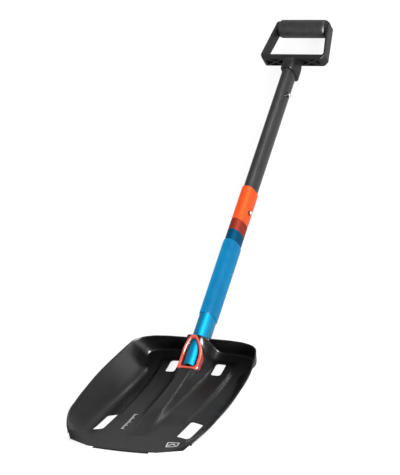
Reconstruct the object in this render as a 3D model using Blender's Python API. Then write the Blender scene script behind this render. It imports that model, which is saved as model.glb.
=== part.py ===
"""Telescoping avalanche shovel with a D handle, a two-part oval shaft and a stamped scoop blade.

The parts are modelled in the shaft's frame: +X is the blade's width, +Y runs along the shaft from the
blade to the handle, and +Z is up out of the scoop's hollow side. Y = 0 is where the shaft enters the
blade. One empty carries this frame: it stands the shovel on its back, with the ground under the blade's
heel and the handle's neck, and with the middle of its bounding box over the world's origin.

Lengths are in millimetres until they reach Blender, which works in metres.
"""

import math

import bmesh
import bpy
import numpy as np
from mathutils import Vector

MM = 0.001
GAP = 0.3  # clearance between neighbouring pieces

# Where the shaft's frame stands over the world's origin.
FRAME_Y = -169.2
AXIS_HEIGHT = 20.8  # the blade's heel and the handle's neck both reach this far below the axis

# Shaft: two oval tubes, the upper one sliding inside the lower one.
TUBE_POWER = 2.2  # 2 is an ellipse, more is squarer
LOWER_OUTER = (11.2, 19.0)  # half width, half depth
LOWER_WALL = 1.5
UPPER_WALL = 1.3
LOWER_INNER = (LOWER_OUTER[0] - LOWER_WALL, LOWER_OUTER[1] - LOWER_WALL)
UPPER_OUTER = (LOWER_INNER[0] - GAP, LOWER_INNER[1] - GAP)
UPPER_INNER = (UPPER_OUTER[0] - UPPER_WALL, UPPER_OUTER[1] - UPPER_WALL)
LOWER_ENDS = (-59.0, 260.0)
UPPER_ENDS = (205.0, 508.0)
TUBE_SIDES = 36
CRADLE_WALL = 1.2
CRADLE_LIP = 17.0  # reach of its lips across the blade
CRADLE_ENDS = (-58.0, -20.0)
GRIP_ENDS = (29.5, 161.5)
GRIP_THICK = 1.4

# Spring buttons. The telescope's two buttons use the same hole in the lower tube.
BUTTON_RADIUS = 3.4
HOLE_SLACK = 0.9
EXTENDED_BUTTON_Y = 221.0
STOWED_BUTTON_Y = 448.0
BLADE_BUTTON_Y = -31.0
BUTTON_TIP = 15.6
BLADE_BUTTON_TIP = 20.6
SPRING_STRIP = 0.7
SPRING_WIDTH = 7.0

# Blade: a sheet bent along a curve that steepens from heel to edge, with walls on three sides.
SHEET = 2.0
BLADE_LENGTH = 266.0  # along the floor at the front corners
EDGE_BULGE = 18.0  # how far the middle of the front edge stands past its corners
HEEL = (-12.0, -18.5)  # Y and Z of the floor at the rear wall
HEEL_SLOPE = -5.0  # degrees
EDGE_SLOPE = 35.8
SLOPE_RUN = 47.5  # most of the change in slope happens within this length
# Height of the wall's rim over the floor, from the rear to the front corners: along the floor, height.
WALL_TOP = [(-5, 27.5), (8, 29.5), (20, 33.5), (35, 35.5), (53, 36.2), (84, 35), (127, 32), (157, 28.5),
            (192, 24.3), (224, 19), (247, 11), (BLADE_LENGTH, 0)]
REAR_WALL_DEPTH = 10.0  # from the rim to where the floor is flat
SIDE_WALL_DEPTH = 38.0
WALL_BEND = (0.75, 0.3)  # share of the depth where wall and floor would meet, and half width of the bend
# Right half of the rim, from the middle of the rear wall: across, along the floor.
RIM = [(0, -3.5), (30, -3.5), (60, -2.8), (80, -0.5), (93.5, 6), (102, 18), (106.3, 32.5), (110.8, 53.5),
       (116.4, 84), (120.2, 127), (120.4, 157), (119, 192), (115.6, 224), (106.5, 247), (92.5, BLADE_LENGTH)]
WALL_RINGS = 7
RIM_REAR_STEPS = 12
RIM_SIDE_STEPS = 20
CORNER_ALONG = 9.0  # the rim point that the floor's rear corner belongs to
TUNNEL_REAR = 41.5  # crest height over the floor at the rear wall
TUNNEL_MID = 20.5
TUNNEL_MID_ALONG = 50.0
TUNNEL_END = 238.0
TUNNEL_HALF = (19.0, 16.0)  # round the hoe socket, and in front of it
TUNNEL_POWER = (7.0, 5.0)
TUNNEL_CHANGE = (40.0, 90.0)  # along the floor, where the tunnel goes from one section to the other
PANEL_STEP = 2.5  # the floor's middle stands this much over the gutters beside it
PANEL_EDGE = 4.0  # half width of the step's slope
PANEL_HALF = (62.0, 54.0)  # at the rear and at the front
PANEL_ALONG = (18.0, 205.0)
GUTTER_DEPTH = 4.5  # how far the floor falls from the creases to the side walls
GUTTER_WIDTH = 30.0

# Hoe socket: a moulded collar around an opening in the tunnel's crest.
SOCKET_FRONT = -60.2
SOCKET_REAR = -16.5
SOCKET_HALF = 12.0
COLLAR_WALL = 5.0
COLLAR_TOP = (14.2, 24.0)  # beside the shaft and at the point, over the shaft
COLLAR_BOTTOM = (2.5, 20.2)
COLLAR_CLIMB = (-42.0, -16.0)  # where the collar climbs over the shaft

# Slots through the blade floor, right side: centre across, centre along, half sizes.
REAR_SLOT = (38.5, 39.5, 8.2, 13.5)
FRONT_SLOT = (69.5, 202.0, 9.8, 25.0)

# Handle
# Right half of the D, from the bottom edge up the outside and down the inside: across, along, rounding.
FRAME_CORNERS = [(52.5, 513.3, 4.0), (57.0, 521.5, 4.0), (46.8, 588.5, 3.0), (42.5, 590.0, 0.0),
                 (42.5, 573.0, 0.0), (44.7, 573.0, 0.0), (54.0, 522.3, 3.0)]
FRAME_HALF_DEPTH = 10.5
FRAME_EDGE = 1.2  # chamfer along the D's edges
TOP_BAR_Y = 581.4
TOP_CORE_RADIUS = 11.5
TOP_CORE_HALF = 44.0
GRIP_COVER_RADIUS = 15.0
GRIP_COVER_HALF = 41.0
GRIP_SHOULDER = (5.0, 2.4)  # length and drop of the rounded shoulder at each end
NECK_ENDS = (489.7, 518.0)
NECK_HALF = 11.2
NECK_TOP = 18.8
NECK_POWER = 4.0
LATTICE_FLOOR_Y = 518.0
LATTICE = (16.0, 47.0, 8.5)  # nearest and farthest X, and half depth
LATTICE_RIB = 1.3


def clear_scene():
    for old in list(bpy.data.objects):
        bpy.data.objects.remove(old, do_unlink=True)


def material(name, colour, roughness, metallic=0.0):
    made = bpy.data.materials.new(name)
    made.use_nodes = True
    shader = made.node_tree.nodes["Principled BSDF"]
    shader.inputs["Base Color"].default_value = (*colour, 1.0)
    shader.inputs["Roughness"].default_value = roughness
    shader.inputs["Metallic"].default_value = metallic
    return made


def add_object(name, mesh_data, root, made_of=None, at=(0, 0, 0)):
    """Put a bmesh into the scene as one object under the shaft's frame, with its origin at a point."""
    bmesh.ops.recalc_face_normals(mesh_data, faces=mesh_data.faces)
    mesh = bpy.data.meshes.new(name)
    offset = Vector(at)
    for vertex in mesh_data.verts:
        vertex.co = (vertex.co - offset) * MM
    mesh_data.to_mesh(mesh)
    mesh_data.free()
    made = bpy.data.objects.new(name, mesh)
    bpy.context.collection.objects.link(made)
    made.parent = root
    made.location = offset * MM
    if made_of:
        mesh.materials.append(made_of)
        mesh.shade_smooth()
        mesh.set_sharp_from_angle(angle=math.radians(35))
    return made


def cut(target, cutter):
    """Subtract one object from another and keep the cutter as a hidden guide."""
    modifier = target.modifiers.new(cutter.name, "BOOLEAN")
    modifier.object = cutter
    modifier.operation = "DIFFERENCE"
    modifier.solver = "EXACT"
    cutter.hide_render = True
    cutter.display_type = "WIRE"


def superellipse(half_x, half_z, sides, power):
    """Points of a rounded outline around the origin."""
    points = []
    for turn in np.linspace(0, 2 * math.pi, sides, endpoint=False):
        cos, sin = math.cos(turn), math.sin(turn)
        x = half_x * math.copysign(abs(cos) ** (2 / power), cos)
        z = half_z * math.copysign(abs(sin) ** (2 / power), sin)
        points.append((x, z))
    return points


def loop_of(mesh_data, points):
    return [mesh_data.verts.new(point) for point in points]


def bridge(mesh_data, first, second):
    """Quads between two closed loops that have the same number of vertices."""
    count = len(first)
    for i in range(count):
        j = (i + 1) % count
        mesh_data.faces.new((first[i], first[j], second[j], second[i]))


def oval_tube(outer, inner, ends):
    """Open tube along Y with an oval section."""
    loops = []
    for (half_x, half_z), y in ((outer, ends[0]), (outer, ends[1]), (inner, ends[1]), (inner, ends[0])):
        loops.append([(x, y, z) for x, z in superellipse(half_x, half_z, TUBE_SIDES, TUBE_POWER)])
    return lofted(loops, joined=True)


def lofted(loops, joined=False):
    """Closed solid through loops of points. The last loop is joined to the first, or both are capped."""
    mesh_data = bmesh.new()
    rings = [loop_of(mesh_data, points) for points in loops]
    for first, second in zip(rings, rings[1:]):
        bridge(mesh_data, first, second)
    if joined:
        bridge(mesh_data, rings[-1], rings[0])
    else:
        mesh_data.faces.new(rings[0])
        mesh_data.faces.new(rings[-1])
    return mesh_data


def oval_stack(stations, power=TUBE_POWER, middle_z=0.0):
    """Closed solid along Y through oval sections given as (y, half_x, half_z)."""
    loops = []
    for y, half_x, half_z in stations:
        section = superellipse(half_x, half_z, TUBE_SIDES, power)
        loops.append([(x, y, middle_z + z) for x, z in section])
    return lofted(loops)


def prism_z(outline, low, high):
    """Upright prism on an outline of (x, y) points."""
    return lofted([[(x, y, z) for x, y in outline] for z in (low, high)])


def turned_x(profile, y, sides=20):
    """Solid of revolution about a line along X at a given Y, from (x, radius) points."""
    turns = np.linspace(0, 2 * math.pi, sides, endpoint=False)
    return lofted([[(x, y + radius * math.cos(t), radius * math.sin(t)) for t in turns]
                   for x, radius in profile])


# ---------------------------------------------------------------- blade


def floor_table():
    """Floor curve in the YZ plane: distance along it, Y, Z and slope, from heel to edge."""
    along = np.linspace(-5.0, BLADE_LENGTH + 20.0, 400)
    share = 1 - np.exp(-np.clip(along, 0, None) / SLOPE_RUN)
    slope = np.radians(HEEL_SLOPE + (EDGE_SLOPE - HEEL_SLOPE) * share)
    step = np.diff(along)
    middle = (slope[1:] + slope[:-1]) / 2
    y = np.concatenate([[0], np.cumsum(-np.cos(middle) * step)])
    z = np.concatenate([[0], np.cumsum(np.sin(middle) * step)])
    y += HEEL[0] - np.interp(0, along, y)
    z += HEEL[1] - np.interp(0, along, z)
    return along, y, z, slope


FLOOR = floor_table()


def on_blade(across, along, height):
    """Point at a height over the floor, square to it."""
    y = np.interp(along, FLOOR[0], FLOOR[1])
    z = np.interp(along, FLOOR[0], FLOOR[2])
    slope = np.interp(along, FLOOR[0], FLOOR[3])
    return Vector((across, y + height * math.sin(slope), z + height * math.cos(slope)))


def ease(share):
    """Smooth 0 to 1 as share goes from 0 to 1."""
    share = min(1.0, max(0.0, share))
    return share * share * (3 - 2 * share)


def tunnel_height(across, along):
    """Height of the central tunnel over the floor. It fades out towards the front edge."""
    if along < TUNNEL_MID_ALONG:
        crest = TUNNEL_REAR + (TUNNEL_MID - TUNNEL_REAR) * ease(along / TUNNEL_MID_ALONG)
    else:
        crest = TUNNEL_MID * max(0.0, (TUNNEL_END - along) / (TUNNEL_END - TUNNEL_MID_ALONG))
    low, high = TUNNEL_CHANGE
    share = ease((along - low) / (high - low))
    half, power = (first + (last - first) * share for first, last in (TUNNEL_HALF, TUNNEL_POWER))
    return crest / (1 + abs(across / half) ** power)


def panel_height(across, along):
    """Raised middle of the floor, between two creases that close in towards the front."""
    low, high = PANEL_ALONG
    share = min(1.0, max(0.0, (along - low) / (high - low)))
    half = PANEL_HALF[0] + (PANEL_HALF[1] - PANEL_HALF[0]) * share
    side = ease((half + PANEL_EDGE - abs(across)) / (2 * PANEL_EDGE))
    ends = ease((along - low) / 15) * ease((high - along) / 40)
    return PANEL_STEP * side * ends


def gutter_height(across, along):
    """The floor falls a little from the creases towards the side walls."""
    fall = ease((abs(across) - PANEL_HALF[1]) / GUTTER_WIDTH)
    return -GUTTER_DEPTH * fall * ease((along - 30) / 90) * ease((BLADE_LENGTH - along) / 60)


def floor_height(across, along):
    return tunnel_height(across, along) + panel_height(across, along)


def wall_depth(along):
    return REAR_WALL_DEPTH + (SIDE_WALL_DEPTH - REAR_WALL_DEPTH) * ease((along - 8) / 45)


def wall_height(along):
    places, heights = np.array(WALL_TOP, dtype=float).T
    return smooth_curve(places, heights, along)


def wall_share(depth_share):
    """Height of the wall's section, from 1 at the rim: straight, then a bend into the floor."""
    meet, bend = WALL_BEND
    up = 1 - depth_share / meet
    if up > bend:
        return up
    return max(0.0, up + bend) ** 2 / (4 * bend)


def rim_points():
    """Rim of the right half from the middle of the rear wall to the front corner, with inward directions."""
    control = np.array(RIM, dtype=float)
    lengths = np.concatenate([[0], np.cumsum(np.linalg.norm(np.diff(control, axis=0), axis=1))])
    dense = np.linspace(0, lengths[-1], 600)
    across = smooth_curve(lengths, control[:, 0], dense)
    along = smooth_curve(lengths, control[:, 1], dense)
    corner = dense[np.argmax((along > CORNER_ALONG) & (across > 80))]
    rear = np.linspace(0, corner, RIM_REAR_STEPS + 1)
    side = np.linspace(corner, lengths[-1], RIM_SIDE_STEPS + 1)[1:]
    places = np.concatenate([rear, side])
    points = np.stack([np.interp(places, dense, across), np.interp(places, dense, along)], axis=1)
    ahead = np.stack([np.gradient(across, dense), np.gradient(along, dense)], axis=1)
    tangents = np.stack([np.interp(places, dense, ahead[:, k]) for k in (0, 1)], axis=1)
    inward = np.stack([-tangents[:, 1], tangents[:, 0]], axis=1)
    inward /= np.linalg.norm(inward, axis=1)[:, None]
    inward[0] = (0, 1)
    edge = np.array([-1.0, 2 * EDGE_BULGE / RIM[-1][0]])
    edge /= np.linalg.norm(edge)
    share = np.clip((points[:, 1] - BLADE_LENGTH + 60) / 60, 0, 1)[:, None] ** 2
    inward = inward * (1 - share) + edge * share
    inward /= np.linalg.norm(inward, axis=1)[:, None]
    return points, inward


def smooth_curve(places, values, wanted):
    """Monotone cubic through points, so that the outline has no corners between them."""
    step = np.diff(places)
    slope = np.diff(values) / step
    tangent = np.zeros(len(values))
    tangent[1:-1] = (slope[1:] * step[:-1] + slope[:-1] * step[1:]) / (step[1:] + step[:-1])
    tangent[0], tangent[-1] = slope[0], slope[-1]
    cell = np.clip(np.searchsorted(places, wanted) - 1, 0, len(step) - 1)
    t = (wanted - places[cell]) / step[cell]
    width = step[cell]
    return ((2 * t**3 - 3 * t**2 + 1) * values[cell] + (t**3 - 2 * t**2 + t) * width * tangent[cell]
            + (3 * t**2 - 2 * t**3) * values[cell + 1] + (t**3 - t**2) * width * tangent[cell + 1])


def blade_height(across, along, wall, share):
    """The wall where it stands higher than the tunnel, and the tunnel elsewhere, blended."""
    tunnel = floor_height(across, along)
    blend = 1.5 * math.exp(-abs(wall - tunnel) / 3.0) * min(wall, tunnel, 6.0) / 6.0
    return max(wall, tunnel) + blend + gutter_height(across, along) * (1 - share)


def blade_surface():
    """Grid of the blade's upper surface: three rings of wall strips round a floor grid."""
    points, inward = rim_points()
    mirrored = points[:0:-1] * (-1, 1)
    mirrored_inward = inward[:0:-1] * (-1, 1)
    rim = np.concatenate([mirrored, points])
    directions = np.concatenate([mirrored_inward, inward])
    mesh_data = bmesh.new()
    depths = np.array([[wall_depth(along)] for _, along in rim])
    rings = []
    for depth_share in np.linspace(0, 1, WALL_RINGS + 1):
        places = rim + directions * depths * depth_share
        share = wall_share(depth_share)
        ring = []
        for (across, along), (_, rim_along) in zip(places, rim):
            wall = wall_height(rim_along) * share
            point = on_blade(across, along, blade_height(across, along, wall, share))
            ring.append(mesh_data.verts.new(point))
        rings.append(ring)
    for outer, inner in zip(rings, rings[1:]):
        for i in range(len(outer) - 1):
            mesh_data.faces.new((outer[i], outer[i + 1], inner[i + 1], inner[i]))
    foot = rim + directions * depths
    fill_floor(mesh_data, foot, rings[-1])
    return mesh_data


def fill_floor(mesh_data, foot, foot_verts):
    """Grid between the left, rear and right feet of the wall and the curved front edge."""
    side_count, rear_count = RIM_SIDE_STEPS, 2 * RIM_REAR_STEPS
    left = foot[: side_count + 1][::-1]
    rear = foot[side_count : side_count + rear_count + 1]
    right = foot[side_count + rear_count :]
    left_verts = foot_verts[: side_count + 1][::-1]
    rear_verts = foot_verts[side_count : side_count + rear_count + 1]
    right_verts = foot_verts[side_count + rear_count :]
    half = right[-1][0]
    start = right[-1][1]
    reach = BLADE_LENGTH + EDGE_BULGE - start
    front = [(x, start + reach * (1 - (x / half) ** 2)) for x in np.linspace(-half, half, rear_count + 1)]
    front = np.array(front)
    rows = [list(rear_verts)]
    for j in range(1, side_count + 1):
        b = j / side_count
        row = [left_verts[j]]
        for i in range(1, rear_count):
            a = i / rear_count
            sides = (1 - a) * left[j] + a * right[j]
            ends = (1 - b) * rear[i] + b * front[i]
            corners = ((1 - a) * (1 - b) * left[0] + a * (1 - b) * right[0]
                       + (1 - a) * b * left[-1] + a * b * right[-1])
            across, along = sides + ends - corners
            height = floor_height(across, along) + gutter_height(across, along)
            point = on_blade(across, along, height)
            row.append(mesh_data.verts.new(point))
        row.append(right_verts[j])
        rows.append(row)
    for first, second in zip(rows, rows[1:]):
        for i in range(rear_count):
            mesh_data.faces.new((first[i], first[i + 1], second[i + 1], second[i]))


def thicken(mesh_data, thickness):
    """Give an open surface a second side below it and close the edges."""
    bmesh.ops.recalc_face_normals(mesh_data, faces=mesh_data.faces)
    mesh_data.normal_update()
    up = sum(face.normal.z for face in mesh_data.faces) > 0
    sign = -1 if up else 1
    lower = {v: mesh_data.verts.new(v.co + v.normal * thickness * sign) for v in list(mesh_data.verts)}
    border = [edge for edge in mesh_data.edges if len(edge.link_faces) == 1]
    for face in list(mesh_data.faces):
        mesh_data.faces.new([lower[v] for v in reversed(face.verts)])
    for edge in border:
        first, second = edge.verts
        mesh_data.faces.new((first, second, lower[second], lower[first]))


def rounded_box_outline(half_x, half_y, radius, steps=3):
    """Rounded rectangle around the origin."""
    outline = []
    for corner, (sx, sy) in enumerate(((1, 1), (-1, 1), (-1, -1), (1, -1))):
        for k in range(steps + 1):
            turn = math.pi / 2 * (corner + k / steps)
            x = sx * (half_x - radius) + radius * math.cos(turn)
            y = sy * (half_y - radius) + radius * math.sin(turn)
            outline.append((x, y))
    return outline


def slot_cutter(name, root, slot, side):
    """Rounded prism square to the blade floor at a slot's place."""
    across, along, half_across, half_along = slot
    loops = []
    for height in (-14.0, 14.0):
        points = []
        for x, along_offset in rounded_box_outline(half_across, half_along, 4.5):
            base = on_blade(side * across + x, along, 0)
            ahead = on_blade(0, along + 1, 0) - on_blade(0, along, 0)
            up = on_blade(0, along, 1) - on_blade(0, along, 0)
            points.append(base + ahead * along_offset + up * height)
        loops.append(points)
    return add_object(name, lofted(loops), root)


def socket_outline(grow):
    """Hoe opening seen from above: straight across at the front, pointed towards the handle."""
    half = SOCKET_HALF + grow
    front = SOCKET_FRONT - grow
    rear = SOCKET_REAR + grow
    length = rear - front
    shape = [(0.86, 0.0), (0.975, 0.02), (1.0, 0.2), (1.0, 0.42), (0.88, 0.66), (0.52, 0.87), (0.2, 0.98)]
    right = [(half * across, front + length * ahead) for across, ahead in shape]
    return right + [(-x, y) for x, y in reversed(right)]


def make_blade(root, made_of):
    mesh_data = blade_surface()
    thicken(mesh_data, SHEET)
    blade = add_object("blade", mesh_data, root, made_of)
    opening = add_object("hoe_opening_cutter", prism_z(socket_outline(COLLAR_WALL + GAP), -4, 40), root)
    cut(blade, opening)
    for side, label in ((-1, "left"), (1, "right")):
        cut(blade, slot_cutter(f"rear_slot_cutter_{label}", root, REAR_SLOT, side))
        cut(blade, slot_cutter(f"front_slot_cutter_{label}", root, FRONT_SLOT, side))
    hole = turned_x([(-30, BUTTON_RADIUS + HOLE_SLACK), (-9, BUTTON_RADIUS + HOLE_SLACK)], BLADE_BUTTON_Y)
    cut(blade, add_object("blade_button_cutter", hole, root))
    return blade


def collar_climb(y):
    low, high = COLLAR_CLIMB
    return min(1.0, max(0.0, (y - low) / (high - low)))


def collar_top(y):
    return COLLAR_TOP[0] + (COLLAR_TOP[1] - COLLAR_TOP[0]) * collar_climb(y) ** 1.3


def collar_bottom(y):
    return COLLAR_BOTTOM[0] + (COLLAR_BOTTOM[1] - COLLAR_BOTTOM[0]) * collar_climb(y) ** 0.7


def make_hoe_collar(root, made_of):
    """Moulded ring with eased edges, open for the shaft."""
    section = [(1, None), (1, -1.8), (0.85, -0.5), (0.7, 0.0), (0.3, 0.0), (0.1, -0.5), (0, -1.5), (0, None)]
    loops = []
    for share, below_top in section:
        loop = []
        for x, y in socket_outline(COLLAR_WALL * share):
            z = collar_bottom(y) if below_top is None else collar_top(y) + below_top
            loop.append((x, y, z))
        loops.append(loop)
    return add_object("hoe_collar", lofted(loops, joined=True), root, made_of)


def make_shaft_cradle(root, made_of):
    """Trough under the shaft, with a lip each side that is welded to the tunnel's wall."""
    inner = (LOWER_OUTER[0] + GAP, LOWER_OUTER[1] + GAP)
    outer = (inner[0] + CRADLE_WALL, inner[1] + CRADLE_WALL)
    arc = [(x, z) for x, z in superellipse(*inner, TUBE_SIDES, TUBE_POWER) if z < -1.0]
    lip_top = arc[-1][1]
    lip_bottom = lip_top - CRADLE_WALL
    shell = [(x, z) for x, z in superellipse(*outer, TUBE_SIDES, TUBE_POWER) if z < lip_bottom - 1.0]
    lip = [(CRADLE_LIP, lip_top), (CRADLE_LIP, lip_bottom), (outer[0], lip_bottom)]
    section = arc + lip + shell[::-1] + [(-x, z) for x, z in reversed(lip)]
    loops = [[(x, y, z) for x, z in section] for y in CRADLE_ENDS]
    return add_object("shaft_cradle", lofted(loops), root, made_of)


# ---------------------------------------------------------------- shaft


def make_lower_shaft(root, made_of):
    mesh_data = oval_tube(LOWER_OUTER, LOWER_INNER, LOWER_ENDS)
    shaft = add_object("lower_shaft", mesh_data, root, made_of)
    radius = BUTTON_RADIUS + HOLE_SLACK
    lock = turned_x([(3, radius), (20, radius)], EXTENDED_BUTTON_Y)
    cut(shaft, add_object("lock_hole_cutter", lock, root))
    blade_lock = turned_x([(-20, radius), (-3, radius)], BLADE_BUTTON_Y)
    cut(shaft, add_object("blade_lock_hole_cutter", blade_lock, root))
    return shaft


def make_upper_shaft(root, made_of):
    mesh_data = oval_tube(UPPER_OUTER, UPPER_INNER, UPPER_ENDS)
    shaft = add_object("upper_shaft", mesh_data, root, made_of)
    radius = BUTTON_RADIUS + HOLE_SLACK
    for label, y in (("extended", EXTENDED_BUTTON_Y), ("stowed", STOWED_BUTTON_Y)):
        hole = turned_x([(3, radius), (20, radius)], y)
        cut(shaft, add_object(f"{label}_hole_cutter", hole, root))
    return shaft


def make_grip_sleeve(root, made_of):
    """Soft sleeve with rounded ends, stretched over the lower tube."""
    inner = (LOWER_OUTER[0] + GAP, LOWER_OUTER[1] + GAP)
    low, high = GRIP_ENDS
    loops = []
    stations = [(low, 0.0), (low, 0.5), (low + 1.0, 1.0), (high - 1.0, 1.0), (high, 0.5), (high, 0.0)]
    for y, share in stations:
        grow = (GRIP_THICK - GAP) * share
        section = superellipse(inner[0] + grow, inner[1] + grow, TUBE_SIDES, TUBE_POWER)
        loops.append([(x, y, z) for x, z in section])
    return add_object("grip_sleeve", lofted(loops, joined=True), root, made_of)


def make_button(name, root, made_of, y, side, base, tip):
    """Round button with a domed end, its axis along X."""
    dome = [(base, 0.9), (base + 0.3, 1.0), (tip - 1.6, 1.0), (tip - 0.5, 0.8), (tip, 0.35)]
    mesh_data = turned_x([(side * x, BUTTON_RADIUS * share) for x, share in dome], y)
    return add_object(name, mesh_data, root, made_of, at=(side * base, y, 0))


def make_spring(name, root, made_of, button_y, bend_y, side, arm_x, wall_x):
    """Leaf spring folded to a V: one arm under the button, the other on the far wall of the tube."""
    ahead = math.copysign(1, bend_y - button_y)
    strip = SPRING_STRIP
    tip_y = button_y - ahead * 4.0
    outline = [(arm_x, tip_y), (arm_x, button_y + ahead * 5.0), (0.5, bend_y), (-0.5, bend_y),
               (-wall_x, button_y + ahead * 5.0), (-wall_x, tip_y), (-wall_x + strip, tip_y),
               (-wall_x + strip, button_y + ahead * 5.0), (0, bend_y - ahead * strip * 3),
               (arm_x - strip, button_y + ahead * 5.0), (arm_x - strip, tip_y)]
    mesh_data = prism_z([(side * x, y) for x, y in outline], -SPRING_WIDTH / 2, SPRING_WIDTH / 2)
    return add_object(name, mesh_data, root, made_of)


def make_locks(root, made_of):
    """Three spring buttons, each with its leaf spring."""
    upper_base = 5.4
    for name, y in (("extended_lock", EXTENDED_BUTTON_Y), ("stowed_lock", STOWED_BUTTON_Y)):
        make_button(f"{name}_button", root, made_of["steel"], y, 1, upper_base, BUTTON_TIP)
        make_spring(f"{name}_spring", root, made_of["spring"], y, y + 38, 1, upper_base - GAP,
                    UPPER_INNER[0] - 0.9)
    blade_base = 7.0
    make_button("blade_lock_button", root, made_of["steel"], BLADE_BUTTON_Y, -1, blade_base, BLADE_BUTTON_TIP)
    make_spring("blade_lock_spring", root, made_of["spring"], BLADE_BUTTON_Y, LOWER_ENDS[0] + 2, -1,
                blade_base - GAP, LOWER_INNER[0] - 0.9)


# ---------------------------------------------------------------- handle


def rounded(corners, steps=4):
    """Closed outline with an arc at each (x, y, radius) corner."""
    outline = []
    for i, (x, y, radius) in enumerate(corners):
        corner = Vector((x, y))
        if radius == 0.0:
            outline.append(corner)
            continue
        before = (Vector(corners[i - 1][:2]) - corner).normalized()
        after = (Vector(corners[(i + 1) % len(corners)][:2]) - corner).normalized()
        half_angle = before.angle(after) / 2
        middle = corner + (before + after).normalized() * radius / math.sin(half_angle)
        start = corner + before * radius / math.tan(half_angle) - middle
        end = corner + after * radius / math.tan(half_angle) - middle
        for k in range(steps + 1):
            outline.append(middle + start.lerp(end, k / steps).normalized() * radius)
    return outline


def inset(outline, distance):
    """The outline moved inwards, with its points given anticlockwise."""
    moved = []
    for i, point in enumerate(outline):
        before = (point - outline[i - 1]).normalized()
        after = (outline[(i + 1) % len(outline)] - point).normalized()
        inward = (Vector((-before.y, before.x)) + Vector((-after.y, after.x))).normalized()
        moved.append(point + inward * distance / inward.dot(Vector((-after.y, after.x))))
    return moved


def join(target, guide):
    """Unite one object with another and keep the second as a hidden guide."""
    modifier = target.modifiers.new(guide.name, "BOOLEAN")
    modifier.object = guide
    modifier.operation = "UNION"
    modifier.solver = "EXACT"
    guide.hide_render = True
    guide.display_type = "WIRE"


def make_handle_frame(root, made_of):
    """D-shaped frame: a flat U, a round core for the grip across its top, and a neck for the upper tube."""
    left = [(-x, y, radius) for x, y, radius in reversed(FRAME_CORNERS)]
    outline = rounded(FRAME_CORNERS + left)
    depth, edge = FRAME_HALF_DEPTH, FRAME_EDGE
    loops = []
    for z, distance in ((-depth, edge), (edge - depth, 0.0), (depth - edge, 0.0), (depth, edge)):
        loops.append([(x, y, z) for x, y in inset(outline, distance)])
    frame = add_object("handle_frame", lofted(loops), root, made_of)
    half, radius = TOP_CORE_HALF, TOP_CORE_RADIUS
    core = turned_x([(-half, radius - 1.5), (1.5 - half, radius), (half - 1.5, radius), (half, radius - 1.5)],
                    TOP_BAR_Y, 32)
    join(frame, add_object("handle_core_guide", core, root))
    join(frame, add_object("handle_neck_guide", neck_solid(), root))
    bore = oval_stack([(y, UPPER_OUTER[0] + GAP, UPPER_OUTER[1] + GAP)
                       for y in (NECK_ENDS[0] - 5, UPPER_ENDS[1] + GAP)])
    cut(frame, add_object("handle_bore_cutter", bore, root))
    for number, cell in enumerate(lattice_cells()):
        pocket = lofted([[(x, y, z) for x, z in cell] for y in (LATTICE_FLOOR_Y - 12, LATTICE_FLOOR_Y)])
        cut(frame, add_object(f"lattice_cutter_{number}", pocket, root))
    return frame


def neck_solid():
    """Boxy sleeve that reaches down to the ground and narrows into the base bar."""
    low, high = NECK_ENDS
    deep = (NECK_TOP + AXIS_HEIGHT) / 2
    stations = [(low, NECK_HALF - 0.7, deep - 0.7), (low + 0.8, NECK_HALF, deep),
                (high - 12, NECK_HALF, deep), (high - 8, NECK_HALF + 0.3, deep - 2),
                (high - 4, NECK_HALF + 1, deep - 6), (high, NECK_HALF + 1, deep - 10.5)]
    return oval_stack(stations, NECK_POWER, NECK_TOP - deep)


def lattice_cells():
    """Triangles between the crossed ribs under the base bar, in X and Z, both sides of the neck."""
    near, far, half_z = LATTICE
    rib = LATTICE_RIB
    middle = (near + far) / 2
    cells = []
    for side in (-1, 1):
        cells.append([(side * near, half_z - rib), (side * (middle - rib), 0), (side * near, rib - half_z)])
        cells.append([(side * far, half_z - rib), (side * (middle + rib), 0), (side * far, rib - half_z)])
        for up in (-1, 1):
            cells.append([(side * (near + 2 * rib), up * half_z), (side * (far - 2 * rib), up * half_z),
                          (side * middle, up * rib)])
    return cells


def make_grip_cover(root, made_of):
    """Thick rubber tube with rounded shoulders on the D's top bar."""
    half, outer, inner = GRIP_COVER_HALF, GRIP_COVER_RADIUS, TOP_CORE_RADIUS + GAP
    length, drop = GRIP_SHOULDER
    shoulder = []
    for turn in np.linspace(0, math.pi / 2, 4):
        shoulder.append((half - length * (1 - math.cos(turn)), outer - drop * (1 - math.sin(turn))))
    right = [(half, inner)] + shoulder
    profile = right + [(-x, radius) for x, radius in reversed(right)]
    turns = np.linspace(0, 2 * math.pi, 32, endpoint=False)
    loops = [[(x, TOP_BAR_Y + radius * math.cos(t), radius * math.sin(t)) for t in turns]
             for x, radius in profile]
    return add_object("grip_cover", lofted(loops, joined=True), root, made_of)


def make_materials():
    return {
        "blade": material("black_anodised_aluminium", (0.03, 0.03, 0.032), 0.42, 0.6),
        "cradle": material("black_aluminium", (0.03, 0.03, 0.03), 0.5, 0.6),
        "collar": material("orange_moulding", (0.95, 0.12, 0.05), 0.4),
        "lower": material("blue_anodised_aluminium", (0.02, 0.35, 0.55), 0.3, 0.8),
        "upper": material("grey_anodised_aluminium", (0.1, 0.1, 0.11), 0.35, 0.8),
        "grip": material("light_blue_rubber", (0.03, 0.4, 0.62), 0.7),
        "handle": material("black_nylon", (0.025, 0.025, 0.026), 0.5),
        "cover": material("black_rubber", (0.03, 0.03, 0.03), 0.6),
        "steel": material("stainless_steel", (0.6, 0.6, 0.6), 0.25, 1.0),
        "spring": material("spring_steel", (0.4, 0.4, 0.42), 0.35, 1.0),
    }


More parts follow.
